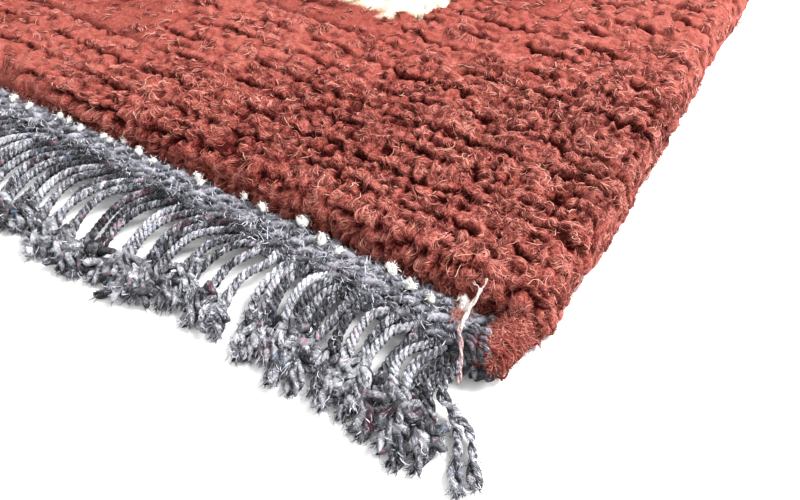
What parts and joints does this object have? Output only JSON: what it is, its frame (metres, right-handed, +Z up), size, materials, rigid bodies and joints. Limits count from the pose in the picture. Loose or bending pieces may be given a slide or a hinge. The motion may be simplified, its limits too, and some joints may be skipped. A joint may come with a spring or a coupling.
{
  "type": "hand-knotted rug with fringe",
  "caption": "Small thick hand-knotted wool rug lying flat, its cut pile in low ribs, with wrapped sides, grey twined bands across the ends and short fringes.",
  "frame": {"origin": "centre of the rug on the floor it lies on", "axes": "+Y along the warp, which is the rug's length, +X along the rows of knots, +Z up out of the pile"},
  "size_m": [0.5984, 0.9662, 0.017],
  "materials": {
    "pile_wool": "cut wool pile, rust red",
    "pattern_wool": "cut wool pile, cream",
    "ground_weave": "close woven ground, matt",
    "selvedge_wool": "wrapped wool yarn, rust red",
    "heading_yarn": "twined mixed grey yarn",
    "fringe_yarn": "twisted mixed grey yarn",
    "knot_cotton": "undyed cream cotton"
  },
  "bodies": {
    "root": {"pile": "pile_wool", "selvedge_left": "selvedge_wool", "selvedge_right": "selvedge_wool", "heading_front": "heading_yarn", "heading_back": "heading_yarn", "fringe_front": "fringe_yarn", "fringe_back": "fringe_yarn"}
  },
  "joints": []
}
